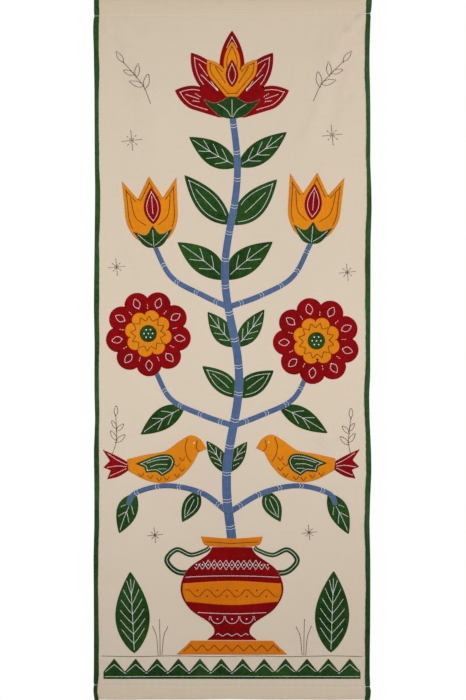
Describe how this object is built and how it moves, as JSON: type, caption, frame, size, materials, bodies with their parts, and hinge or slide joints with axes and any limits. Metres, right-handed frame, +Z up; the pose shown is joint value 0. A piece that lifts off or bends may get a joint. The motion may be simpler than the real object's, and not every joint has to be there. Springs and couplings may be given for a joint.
{
  "type": "applique wall panel",
  "caption": "Tall cotton wall panel with cut-out cloth flowers, leaves, birds and a vase sewn on its face, bound side edges, and a rod sleeve at top and bottom.",
  "frame": {"origin": "middle of the top edge, at the crest of the top fold", "axes": "+Z up along the hanging panel, the sewn face looking along -Y, +X across it"},
  "size_m": [0.4233, 0.0188, 1.0678],
  "materials": {
    "cream_cotton": "plain-woven cotton, matt",
    "edge_green": "plain-woven cotton, folded and pressed",
    "leaf_green": "plain-woven cotton, matt",
    "red_cotton": "plain-woven cotton, matt",
    "orange_cotton": "plain-woven cotton, matt",
    "blue_cotton": "plain-woven cotton, matt",
    "white_thread": "cotton embroidery thread",
    "brown_thread": "cotton embroidery thread"
  },
  "bodies": {
    "root": {"binding_left": "edge_green", "binding_right": "edge_green", "bird_left_body": "orange_cotton", "bird_left_tail": "red_cotton", "bird_left_wing": "leaf_green", "bird_right_body": "orange_cotton", "bird_right_tail": "red_cotton", "bird_right_wing": "leaf_green", "border": "leaf_green", "branch_high_left": "blue_cotton", "branch_high_right": "blue_cotton", "branch_low_left": "blue_cotton", "branch_low_right": "blue_cotton", "branch_mid_left": "blue_cotton", "branch_mid_right": "blue_cotton", "cypress_left": "leaf_green", "cypress_right": "leaf_green", "flower_left_eye": "leaf_green", "flower_left_petals": "red_cotton", "flower_left_ring": "orange_cotton", "flower_right_eye": "leaf_green", "flower_right_petals": "red_cotton", "flower_right_ring": "orange_cotton", "ground_cloth": "cream_cotton", "leaf_arch_left": "leaf_green", "leaf_arch_right": "leaf_green", "leaf_end_left": "leaf_green", "leaf_end_right": "leaf_green", "leaf_fork_left": "leaf_green", "leaf_fork_right": "leaf_green", "leaf_hang_left": "leaf_green", "leaf_hang_right": "leaf_green", "leaf_high_left": "leaf_green", "leaf_high_right": "leaf_green", "leaf_low_left": "leaf_green", "leaf_low_right": "leaf_green", "leaf_mid_left": "leaf_green", "leaf_mid_right": "leaf_green", "leaf_small_left": "leaf_green", "leaf_small_right": "leaf_green", "leaf_top_left": "leaf_green", "leaf_top_right": "leaf_green", "lotus_calyx": "leaf_green", "lotus_drop": "red_cotton", "lotus_heart": "orange_cotton", "lotus_petals": "red_cotton", "stem": "blue_cotton", "tulip_left_calyx": "leaf_green", "tulip_left_inner": "red_cotton", "tulip_left_petals": "orange_cotton", "tulip_right_calyx": "leaf_green", "tulip_right_inner": "red_cotton", "tulip_right_petals": "orange_cotton", "vase_band": "orange_cotton", "vase_body": "red_cotton", "vase_handle_left": "leaf_green", "vase_handle_right": "leaf_green", "vase_lip": "orange_cotton", "vase_stand": "orange_cotton"}
  },
  "joints": []
}
